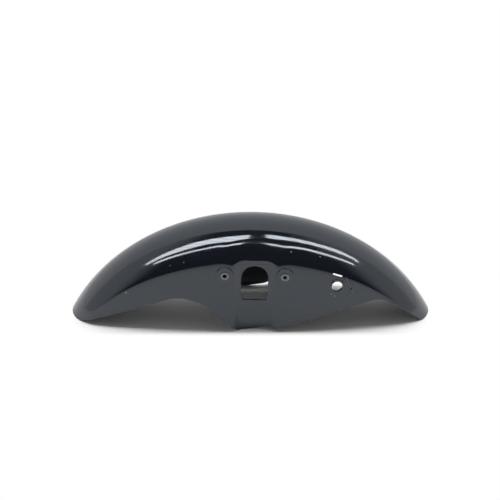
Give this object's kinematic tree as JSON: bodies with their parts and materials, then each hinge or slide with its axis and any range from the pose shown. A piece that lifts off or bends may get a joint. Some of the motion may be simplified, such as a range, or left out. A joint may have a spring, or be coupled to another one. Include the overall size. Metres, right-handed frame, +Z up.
{
  "type": "motorcycle front mudguard",
  "caption": "Black moulded front mudguard for a motorbike: a round crown over the wheel, flat flared skirts with fork recesses and openings, metal fixing collars and a cable guide",
  "frame": {"origin": "centre of the footprint, on the floor that the part rests on", "axes": "+X runs along the mudguard towards the end with the cable guide, Y runs across it from the near side at -Y, +Z is up"},
  "size_m": [0.6188, 0.15, 0.176],
  "materials": {
    "black_abs": "injection-moulded ABS, gloss black",
    "zinc_steel": "zinc-plated steel"
  },
  "bodies": {
    "root": {"shell": "black_abs", "near_rear_collar": "zinc_steel", "near_front_collar": "zinc_steel", "far_rear_collar": "zinc_steel", "far_front_collar": "zinc_steel"}
  },
  "joints": []
}
